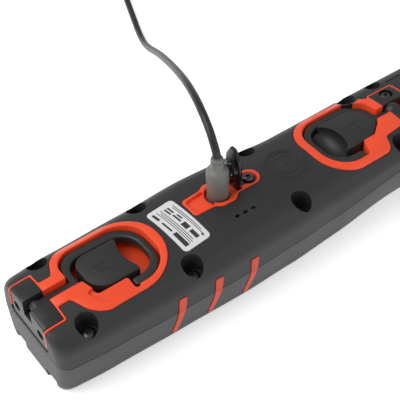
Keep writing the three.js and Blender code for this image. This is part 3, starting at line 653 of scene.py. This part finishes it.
def bores(low, high, wall=0.0, every=1):
    """Upright posts at the pairs of screw bores, for cutting them or for the collars round them."""
    return merged(*[post(x, side * y, r + wall, low, high) for x, y, r in SCREW_BORES[::every] for side in SIDES])


def rear_shell():
    """The skin with all its openings, collars and grooves."""
    bm = rear_skin()
    for line in (handle_tray_line, head_tray_line):
        collars = bores(COLLAR_FOOT, ABOVE + 1, COLLAR_WALL, every=3)
        bm = carve(bm, carve(plate(line, 24, ABOVE, grow=GAP), collars))
    bm = carve(bm, plate(port_line, 24, ABOVE, grow=GAP))
    bm = carve(bm, block(-2, 10.3, -14.5, 14.5, 22.7, 30))
    bm = carve(bm, carve(plate(label_line, 30, ABOVE, grow=GAP), rear_skin(lift=LABEL_DEEP)))
    bm = carve(bm, emblem(), "UNION")
    bm = carve(bm, merged(*[slot(x) for x in SLOTS]))
    lines = merged(*[block(221, 247, side * LINE_Y - LINE_HALF, side * LINE_Y + LINE_HALF, 30, ABOVE)
                     for side in SIDES])
    bm = carve(bm, carve(lines, rear_skin(lift=LINE_DEEP)))
    return carve(carve(bm, grooves()), bores(SCREW_SEAT, ABOVE))


rear = finished("rear_shell_skin", rear_shell(), "housing", "shell", ["rear_shell"],
                angle=30)

# %% [markdown]
# ## The front shell
# The front shell carries the lens, the power button and the torch, all on the side the light lies
# on. It is the same kind of skin with its own openings, in a slightly lighter grey.

# %% Front shell
lens_window = [(128, -13.5, 3), (244, -13.5, 3), (244, 13.5, 3), (128, 13.5, 3)]
LENS_REBATE = 2.5
BUTTON_X, BUTTON_BORE = 108, 6.5
TORCH_RADIUS, TORCH_Z = 6.9, 13.4


def lying(bm, x, y, z):
    """Turns an upright piece to lie along the body at that place."""
    bmesh.ops.rotate(bm, verts=bm.verts, cent=(0, 0, 0), matrix=Matrix.Rotation(math.pi / 2, 3, "Y"))
    bmesh.ops.translate(bm, verts=bm.verts, vec=(x, y, z))
    return bm


def front_shell():
    """The skin with its lens window, button bore, torch bore, end notches and grooves."""
    bm = front_skin()
    bm = carve(bm, plate(lens_window, -2, 5, grow=GAP))
    bm = carve(bm, plate(grown(lens_window, -LENS_REBATE), 4, 17))
    bm = carve(bm, post(BUTTON_X, 0, BUTTON_BORE, -2, 12))
    bm = carve(bm, lying(post(0, 0, TORCH_RADIUS, -18, 3), LENGTH, 0, TORCH_Z))
    notches = merged(*[block(-1, 3.2, s * 13.4 - 4.4, s * 13.4 + 4.4, -1, 6.2) for s in SIDES])
    return carve(carve(bm, notches), grooves())


front = finished("front_shell_skin", front_shell(), "housing", "front", ["front_shell"],
                 angle=30)
for mesh in (rear, front):
    print(mesh.name, [round(v, 4) for v in mesh.dimensions])

# %% [markdown]
# ## Hook trays
# Each hook sleeps in a bright tray let into the back. A tray is its outline raised into a plate and
# trimmed by a copy of the shell's skin lifted by a third of a millimetre, so its rim follows the
# crown and stands just proud. The well for the hook, the lower ledge and the seat of the hinge are
# then cut out. The rim gets a narrow bevel wherever a steep wall meets the top.


# %% Trimming to the back and easing rims
def on_back(corners, low, lift, grow=0.0):
    """A plate whose top follows the back, lifted or lowered by that much."""
    return carve(plate(corners, low, ABOVE, grow=grow), rear_skin(lift=lift, skirt=SKIRT), "INTERSECT")


def eased_rim(bm, size, floor_height=33):
    """Bevels the edges between the top and the walls, where both are long enough to take it."""
    bmesh.ops.remove_doubles(bm, verts=bm.verts, dist=0.01)
    bmesh.ops.dissolve_limit(bm, angle_limit=math.radians(1.2), verts=bm.verts, edges=bm.edges)
    bmesh.ops.recalc_face_normals(bm, faces=bm.faces)
    rim = []
    for edge in bm.edges:
        if len(edge.link_faces) != 2 or min(v.co.z for v in edge.verts) < floor_height:
            continue
        tilt = sorted(face.normal.z for face in edge.link_faces)
        if tilt[1] > 0.6 and abs(tilt[0]) < 0.35 and edge.calc_face_angle_signed(0) > 0.6:
            rim.append(edge)
    bmesh.ops.bevel(bm, geom=rim, offset=size, offset_type="OFFSET", segments=2, profile=0.5,
                    affect="EDGES", clamp_overlap=True, material=-1)
    return bm


def ball(x, y, z, rx, ry, rz, rings=20):
    """A sphere stretched along each axis."""
    bm = bmesh.new()
    bmesh.ops.create_uvsphere(bm, u_segments=2 * rings, v_segments=rings, radius=1)
    bmesh.ops.scale(bm, verts=bm.verts, vec=(rx, ry, rz))
    bmesh.ops.translate(bm, verts=bm.verts, vec=(x, y, z))
    return bm


TRAY_LOW, WELL_FLOOR = 26.6, 28.6
RIM_LIFT, SKIRT = 0.3, 8
BORE_WALL = 1.05
PIN_X, PIN_Z, PIN_RADIUS = 5.2, 34.6, 1.75
SWIVEL = (209.6, 0, 36)
BOLT_X, BOLT_Y, BOLT_BORE = 213.4, 9.2, 1.8


def bore_walls(bore):
    """A tool that leaves a wall of the shell round that pair of screw bores."""
    x, y, radius = bore
    return merged(*[post(x, side * y, radius + BORE_WALL, BELOW, ABOVE) for side in SIDES])


def swivel_ball(radius):
    """A ball about the head hook's swivel."""
    return ball(*SWIVEL, radius, radius, radius)


# %% Trays
def handle_tray():
    """The tray at the handle, with its well, its ledge and the seat of the hinge bracket."""
    bm = on_back(handle_tray_line, TRAY_LOW, RIM_LIFT)
    bm = carve(bm, plate(handle_well, WELL_FLOOR, ABOVE))
    ledge = carve(plate(handle_ledge, 30, ABOVE), rear_skin(lift=-1.2, skirt=SKIRT))
    bm = carve(bm, ledge)
    bm = carve(bm, plate(bracket_recess, BELOW, ABOVE))
    bm = carve(bm, block(-3, 0.05, -20, 20, BELOW, ABOVE))
    return carve(bm, bore_walls(SCREW_BORES[0]))


def head_tray():
    """The tray at the head, with its well and the seats of the clamps and the ball."""
    bm = on_back(head_tray_line, TRAY_LOW, RIM_LIFT)
    bm = carve(bm, plate(head_well, WELL_FLOOR, ABOVE))
    bm = carve(bm, plate(clamp_recess, 33.2, ABOVE))
    bm = carve(bm, swivel_ball(5))
    bolts = [post(BOLT_X, side * BOLT_Y, BOLT_BORE, BELOW, ABOVE) for side in SIDES]
    return carve(bm, merged(bore_walls(SCREW_BORES[3]), *bolts))


finished("handle_tray", eased_rim(handle_tray(), 0.5), "housing", "red", ["handle_hook_tray"])
finished("head_tray", eased_rim(head_tray(), 0.5), "housing", "red", ["head_hook_tray"])

# %% [markdown]
# ## Hooks
# The hooks are coated steel bars bent to an open ring. Their outlines are raised into plates with
# generous bevels above and below, which leaves the rounded bar that a finger feels. The handle hook
# ends in a barrel round its hinge pin, and the head hook in the ball of its swivel.

# %% Hooks
handle_hook_line = [
    (PIN_X, -2.2, 0.1), (26, -2.2, 1.5), (26, 12.7, 8), (58.8, 12.7, 10), (58.8, -12.4, 10),
    (44.6, -12.4, 1.4), (44.6, -17.2, 2), (62.4, -17.2, 13.6), (62.4, 17.2, 13.6), (22.5, 17.2, 10),
    (22.5, 2.2, 1.4), (PIN_X, 2.2, 0.1)]
head_hook_line = [
    (206.5, -2, 0.1), (195.3, -2, 1.2), (195.3, 6, 5), (190, 13, 5), (162.6, 13, 9), (162.6, -12.4, 9.5),
    (177.2, -12.4, 1.4), (177.2, -17.1, 2), (158.4, -17.1, 13.5), (158.4, 17.1, 13.5), (190.6, 17.1, 6),
    (198.6, 9.6, 6), (199.7, 2, 1), (206.5, 2, 0.1)]


def across(bm, x, z):
    """Turns an upright piece to lie across the body at that place."""
    bmesh.ops.rotate(bm, verts=bm.verts, cent=(0, 0, 0), matrix=Matrix.Rotation(math.pi / 2, 3, "X"))
    bmesh.ops.translate(bm, verts=bm.verts, vec=(x, 0, z))
    return bm


def handle_hook():
    """The bar and the barrel that turns on the pin."""
    wall = [(PIN_RADIUS, -2.2), (2.6, -2.2), (2.6, 2.2), (PIN_RADIUS, 2.2), (PIN_RADIUS, -2.2)]
    barrel = across(turned(wall), PIN_X, PIN_Z)
    ring = plate(handle_hook_line, 32.4, 36.9, top=1.1, bottom=0.8, segments=4)
    ring = carve(ring, across(post(0, 0, PIN_RADIUS, -5, 5), PIN_X, PIN_Z))
    return carve(ring, barrel, "UNION")


def head_hook():
    """The bar and the ball of its swivel."""
    ring = plate(head_hook_line, 32.8, 37.3, top=1.1, bottom=0.8, segments=4)
    return carve(ring, swivel_ball(4.5), "UNION")


finished("handle_hook_bar", handle_hook(), "handle_hook", "hook", ["handle_hook"])
finished("head_hook_bar", head_hook(), "head_hook", "hook", ["head_hook"])

# %% [markdown]
# ## Magnet pads
# A pad covers the magnet inside each ring. Its top is a little below the back, one end is scooped
# out by a wide round cutter so a finger can reach the hook, and a small raised horseshoe magnet
# marks what it does. On the head pad the scoop is a smooth bowl.


# %% Pads
SCOOP = 18.1
SHOE_OUTER, SHOE_INNER, SHOE_LEG = 2.6, 1.5, 4.2


def horseshoe(x, y, lift):
    """A raised horseshoe: a half ring open towards the head, with two straight legs."""
    outer = [(SHOE_OUTER * math.cos(a), SHOE_OUTER * math.sin(a))
             for a in [math.radians(90 + 18 * i) for i in range(11)]]
    inner = [(SHOE_INNER * math.cos(a), SHOE_INNER * math.sin(a))
             for a in [math.radians(270 - 18 * i) for i in range(11)]]
    legs = [(SHOE_LEG, -SHOE_OUTER), (SHOE_LEG, -SHOE_INNER)]
    line = [(SHOE_LEG, SHOE_OUTER)] + outer + legs + inner + [(SHOE_LEG, SHOE_INNER)]
    return on_back([(x + px, y + py, 0.05) for px, py in line], 33, lift)


def handle_pad():
    """The pad inside the handle hook's ring, scooped out at its head end."""
    bm = on_back([(28.6, -10, 9), (53.5, -10, 0.4), (53.5, 12, 0.4), (28.6, 12, 7)], WELL_FLOOR + GAP, -1.7)
    bm = carve(bm, post(66.6, 0.8, SCOOP, BELOW, ABOVE, 96))
    bm = carve(bm, block(50.8, 60, -20, 20, BELOW, ABOVE))
    return carve(eased_rim(bm, 0.45), horseshoe(36.5, 0.8, -1.5), "UNION")


def head_pad():
    """The pad inside the head hook's ring, with a smooth bowl in its scoop."""
    bowl = [168.6, 1, 37.6, 6.4, 11, 7]
    bm = on_back([(170.6, -9.6, 0.4), (187, -9.6, 3), (194.9, -4, 4), (194.9, 5.6, 5), (190, 12.6, 4),
                  (170.6, 12.6, 0.4)], WELL_FLOOR + GAP, -0.5)
    bm = carve(bm, post(155.2, 1.5, SCOOP, BELOW, ABOVE, 96))
    cup = plate([(164.2, -9.4, 5), (174.6, -9.4, 2), (174.6, 11.4, 2), (164.2, 11.4, 5)],
                WELL_FLOOR + GAP, 34.6)
    cup = carve(cup, ball(*bowl))
    bm = carve(eased_rim(bm, 0.4), ball(*bowl))
    return carve(carve(bm, cup, "UNION"), horseshoe(182, 1.5, -0.3), "UNION")


finished("handle_pad", handle_pad(), "housing", "pad", ["handle_magnet_pad"])
finished("head_pad", head_pad(), "housing", "pad", ["head_magnet_pad"])


# %% [markdown]
# ## Hinge bracket and clamps
# At the handle end a block with a slot holds the hook's pin, and two screws go into the end of the
# body. At the head two plates clamp the ball, each held by a recessed screw.


# %% Bracket and clamps
def handle_bracket():
    """A block with a slot for the hook, a bore for its pin and two stepped screw bores in its end."""
    bm = on_back([(0.4, -14.2, 0.4), (10, -14.2, 0.5), (10, 14.2, 0.5), (0.4, 14.2, 0.4)], 24, RIM_LIFT)
    bm = carve(bm, block(0.4, 4.5, -14.2, 14.2, 23, 30), "UNION")
    bm = carve(bm, block(-1, 12, -3.2, 3.2, 30.8, ABOVE))
    bm = carve(bm, across(post(0, 0, PIN_RADIUS, -12.5, 12.5), PIN_X, PIN_Z))
    for side in SIDES:
        for radius, depth in ((2.5, 4.2), (1.3, 8.4)):
            bm = carve(bm, lying(post(0, 0, radius, -1, depth), 0, side * 9.8, 30))
    return eased_rim(bm, 0.4)


def clamp_plate(side):
    """One of the two plates that clamp the ball, with a recess for its screw."""
    bm = on_back([(205.3, side * 2.9, 0.4), (219.7, side * 2.9, 0.4), (219.7, side * 13, 0.8),
                  (205.3, side * 13, 0.8)], 33.5, RIM_LIFT)
    bm = carve(eased_rim(bm, 0.4), swivel_ball(4.8))
    bm = carve(bm, post(BOLT_X, side * BOLT_Y, 3.5, 37, ABOVE))
    return carve(bm, post(BOLT_X, side * BOLT_Y, BOLT_BORE, BELOW, ABOVE))


finished("hinge_bracket", handle_bracket(), "housing", "bracket", ["handle_bracket"])
for side, name in zip(SIDES, SIDE_NAMES):
    finished(f"clamp_{name}", clamp_plate(side), "housing", "bracket",
             [f"clamp_plate_{name}"])

# %% [markdown]
# ## Screws
# Every screw is turned from one half profile: a domed pan head on a plain shank. A six-lobed socket
# is cut into the head. The profile is in units of the head's radius, so one function serves all.


# %% Screws
def pan_screw(x, y, seat, head, shank, length):
    """A domed screw with a socket, standing on its seat."""
    dome = [(head * math.cos(t * math.pi / 12), seat + head * (0.2 + 0.4 * math.sin(t * math.pi / 12)))
            for t in range(7)]
    profile = [(0, seat - length), (shank * 0.6, seat - length), (shank, seat - length + 1), (shank, seat),
               (head, seat)] + dome[:-1] + [(0, seat + head * 0.6)]
    bm = turned(profile, 32)
    floor, clear_of_head = seat + 0.5, seat + 9
    bm = carve(bm, post(0, 0, head * 0.3, floor, clear_of_head, 24))
    for lobe in range(6):
        a = math.radians(60 * lobe)
        bm = carve(bm, post(head * 0.27 * math.cos(a), head * 0.27 * math.sin(a), head * 0.14, floor,
                            clear_of_head, 12))
    bmesh.ops.translate(bm, verts=bm.verts, vec=(x, y, 0))
    return bm


def fitted_screw(name, screw, node):
    """Hands a screw over as a finished piece."""
    finished(name, screw, "housing", "dark_steel", [node])


for number, (x, y, radius) in enumerate(SCREW_BORES, 1):
    for side, name in zip(SIDES, SIDE_NAMES):
        fitted_screw(f"body_screw_{name}_{number}", pan_screw(x, side * y, SCREW_SEAT + GAP, 3.4, 1.45, 16),
                     f"housing_screw_{name}_{number}")
for side, name in zip(SIDES, SIDE_NAMES):
    fitted_screw(f"clamp_bolt_{name}", pan_screw(BOLT_X, side * BOLT_Y, 37.3, 3, 1.4, 9.5),
                 f"clamp_screw_{name}")
fitted_screw("flap_bolt", pan_screw(FLAP_BOLT_X, PORT.y, 40.6, 2.7, 1.4, 8), "flap_screw")


# %% [markdown]
# ## Charging port
# The port's surround is a red inlay with a round well for the plug, a finger recess and a lobe where
# a screw holds the flap's strap. The plug is a turned grey body with a stepped neck, and the flap is
# a glossy rubber leaf with a ring on its inner face that seals the well when it is shut.


# %% Port
def port_surround():
    """The inlay, with the plug's well and socket, the strap's channel, a finger recess and the screw's seat."""
    bm = on_back(port_line, 35, RIM_LIFT)
    bm = carve(bm, post(PORT.x, PORT.y, 6.4, 38.3, ABOVE, 64))
    bm = carve(bm, block(PORT.x - 4.9, PORT.x + 4.9, PORT.y - 2.5, PORT.y + 2.5, 30, ABOVE))
    bm = carve(bm, block(107, 113.4, PORT.y - 4.3, PORT.y + 4.3, 38.8, ABOVE))
    bm = carve(bm, block(113, 120, PORT.y - 2.7, PORT.y + 2.7, 38.8, ABOVE))
    recess = [(87, PORT.y - 4.6, 2), (97.4, PORT.y - 5.4, 0.8), (97.4, PORT.y + 5.4, 0.8),
              (87, PORT.y + 4.6, 2)]
    bm = carve(bm, carve(plate(recess, 30, ABOVE), rear_skin(lift=-1.1, skirt=SKIRT)))
    bm = carve(bm, post(FLAP_BOLT_X, PORT.y, 4.1, BOLT_SEAT_Z, ABOVE, 48))
    bm = carve(bm, post(FLAP_BOLT_X, PORT.y, BOLT_BORE, 30, ABOVE))
    return eased_rim(bm, 0.4, floor_height=37)


finished("port_inlay", port_surround(), "housing", "red", ["port_surround"])


# %% Plug
def plug():
    """The plug's body and stepped neck, turned in one piece."""
    profile = [(0, 38.6), (4.6, 38.6), (5.2, 39.4), (5.2, 54.8), (5.05, 55.6), (4.6, 56.3), (3.9, 56.9),
               (3.3, 57.3), (3.05, 57.8), (3.05, 60.4), (2.85, 60.7), (2.85, 61.2), (3.0, 61.5), (2.95, 62.4),
               (2.6, 63), (0, 63)]
    bm = turned(profile, 48)
    bmesh.ops.translate(bm, verts=bm.verts, vec=(PORT.x, PORT.y, 0))
    return bm


finished("lamp_side_plug", plug(), "housing", "plug", ["lamp_plug"], angle=50)


# %% Flap
FLAP_X, FLAP_Z = 111.6, 40.6


def flap():
    """The upright leaf, with its sealing ring and the bead along its hinge line."""
    leaf = [(-3.9, 0.3, 0.8), (3.9, 0.3, 0.8), (5.5, 10, 5), (5.0, 17.5, 6), (1.6, 23.3, 1.5),
            (-1.6, 23.3, 1.5), (-5.0, 17.5, 6), (-5.5, 10, 5)]
    bm = plate(leaf, -0.95, 0.95, top=0.85, bottom=0.85, segments=5)
    turn = Matrix(((0, 0, 1), (1, 0, 0), (0, 1, 0)))
    bmesh.ops.rotate(bm, verts=bm.verts, cent=(0, 0, 0), matrix=turn)
    bmesh.ops.translate(bm, verts=bm.verts, vec=(FLAP_X, PORT.y, FLAP_Z))
    ring = turned([(0, -2.8), (3.1, -2.8), (3.9, -2.6), (4.4, -2.0), (4.4, 0), (0, 0)], 48)
    dish = ball(0, 0, -3.6, 3.2, 3.2, 1.6)
    ring = lying(carve(ring, dish), FLAP_X, PORT.y, FLAP_Z + 11)
    bead = across(post(0, 0, 0.95, -PORT.y - 3.9, -PORT.y + 3.9), FLAP_X, FLAP_Z + 0.4)
    return carve(carve(bm, ring, "UNION"), bead, "UNION")


finished("flap_leaf", flap(), "flap", "rubber", ["port_flap"])


# %% [markdown]
# ## Rating label
# A printed film lies in a shallow recess. It carries only generic marks: rows of small bars of
# different lengths that read as print from a distance, and say nothing.

# %% Label
LABEL_TURN, LABEL_CENTRE = math.radians(4), Vector((77.5, -1.0))
LABEL_BASE, LABEL_TOP, LABEL_UNDER = 36, -0.1, -0.6
INK_TOP, INK_UNDER = -0.08, -0.2


def ink_bar(along_label, across_label, length, width):
    """One printed bar, in the label's own directions, as a thin raised patch."""
    run, rise = Vector((-math.sin(LABEL_TURN), math.cos(LABEL_TURN))), Vector((1, 0))
    middle = LABEL_CENTRE + run * along_label + rise * across_label
    a, b = run * (length / 2), rise * (width / 2)
    corners = (middle - a - b, middle - a + b, middle + a + b, middle + a - b)
    bar = on_back([(*corner, 0.02) for corner in corners], LABEL_BASE, INK_TOP)
    return carve(bar, rear_skin(lift=INK_UNDER, skirt=SKIRT))


label = carve(on_back(label_line, LABEL_BASE, LABEL_TOP), rear_skin(lift=LABEL_UNDER, skirt=SKIRT))
finished("label_film", label, "housing", "label", ["rating_label"])
INK = [(-8, -4.6, 9, 2.2), (1.5, -4.8, 7, 0.9), (9.5, -4.8, 5, 1.3), (0, -2.6, 24, 0.35),
       (-1, -1.6, 22, 0.35), (0.5, -0.6, 23, 0.35), (-9, 1.8, 5, 2.0), (-3, 1.8, 4, 2.6), (3, 1.7, 5.5, 0.9),
       (9, 1.2, 4.5, 0.9), (9, 2.8, 4.5, 0.9), (3, 3.2, 3.5, 0.8), (-1, 4.7, 22, 0.35), (1, 5.6, 20, 0.35),
       (-11.5, 4.2, 1.6, 0.6)]
finished("label_print", merged(*[ink_bar(*bar) for bar in INK]), "housing", "ink")

# %% [markdown]
# ## The charger's plug
# The lead ends in a flat plug for a charger. Its grip is a plate with well-rounded edges, and a ribbed
# relief tapers down to the cable. The relief is turned upright, laid across and joined to the grip.

# %% Charger plug
CHARGER_X, CHARGER_Z = 253.8, 4.7
GRIP_HALF, GRIP_RISE, GRIP_ENDS = 7.6, 4.4, (198, 215)


def charger_plug():
    """The grip and its ribbed relief."""
    x0, x1, (y0, y1) = CHARGER_X - GRIP_HALF, CHARGER_X + GRIP_HALF, GRIP_ENDS
    grip = plate([(x0, y0, 2.2), (x1, y0, 2.2), (x1, y1, 3.2), (x0, y1, 3.2)], CHARGER_Z - GRIP_RISE,
                 CHARGER_Z + GRIP_RISE, top=1.5, bottom=1.5, segments=5)
    ribs = [(0, -214), (3.4, -214), (3.4, -216), (2.9, -216.3), (2.9, -217.2), (3.3, -217.5), (3.2, -219),
            (2.7, -219.3), (2.7, -220.2), (3.0, -220.5), (2.8, -222), (2.4, -222.3), (2.3, -224.5),
            (0, -224.5)]
    return carve(grip, across(turned(ribs, 40), CHARGER_X, CHARGER_Z), "UNION")


finished("charger_side_plug", charger_plug(), "housing", "plug", ["charger_plug"], angle=45)

# %% [markdown]
# ## Pieces carried over
# What is left has the right shape already: the pin, the magnets, the lens and everything inside. Each
# keeps its mesh and gets its own finish, by its slot or by its name.

# %% Finishes of the carried pieces
carried = {
    "steel": ["handle_hook_pin", "handle_magnet", "head_magnet", "charging_socket", "lamp_plug_tip",
              "charger_plug_tip"],
    "dark_steel": ["bracket_screw_near", "bracket_screw_far"],
    "rubber": ["flap_strap", "cable_tie"],
    "bracket": ["power_button", "button_switch"],
    "board": ["charging_board", "main_board", "torch_led"],
    "aluminium": ["led_board", "heat_sink", "torch_reflector"],
    "white": ["reflector_frame"],
    "phosphor": ["led_strip"],
    "cell": ["battery_cell"],
    "lens": ["front_lens", "torch_lens"],
}
for name, nodes in carried.items():
    for node in nodes:
        for holder in bpy.data.objects[node].material_slots:
            holder.material = finish[name]
print(sum(len(nodes) for nodes in carried.values()), "carried pieces finished")

# %% [markdown]
# ## The stage
# A plain pale floor and soft light from all round, with one large lamp from the upper left that puts
# a quiet highlight along the shoulder.

# %% Floor and light
floor_mesh = bmesh.new()
bmesh.ops.create_grid(floor_mesh, x_segments=1, y_segments=1, size=4)
floor = as_object("floor", floor_mesh)
floor.location.z = -0.0002
pale = bpy.data.materials.new("pale_floor")
pale.use_nodes = True
paint = pale.node_tree.nodes["Principled BSDF"].inputs
paint["Base Color"].default_value = (0.93, 0.93, 0.93, 1)
paint["Roughness"].default_value = 0.9
paint["Emission Color"].default_value = (1, 1, 1, 1)
paint["Emission Strength"].default_value = 0.5
floor.data.materials.append(pale)

world = bpy.data.worlds.new("studio")
world.use_nodes = True
world.node_tree.nodes["Background"].inputs["Color"].default_value = (1, 1, 1, 1)
world.node_tree.nodes["Background"].inputs["Strength"].default_value = 0.45
bpy.context.scene.world = world
bpy.context.scene.view_settings.view_transform = "Standard"


def soft_lamp(name, place, target, size, power):
    """A square area lamp that faces a point."""
    lamp = bpy.data.objects.new(name, bpy.data.lights.new(name, "AREA"))
    lamp.data.size = size
    lamp.data.energy = power
    lamp.location = place
    lamp.rotation_euler = (Vector(target) - Vector(place)).to_track_quat("-Z", "Y").to_euler()
    bpy.context.collection.objects.link(lamp)
    print(f"{name} lamp: {power} W, {size} m square")


soft_lamp("key", (-0.75, 0.35, 0.95), (0, 0, 0.02), 1.1, 11)
soft_lamp("fill", (0.6, -0.8, 0.7), (0, 0, 0.02), 0.9, 2)
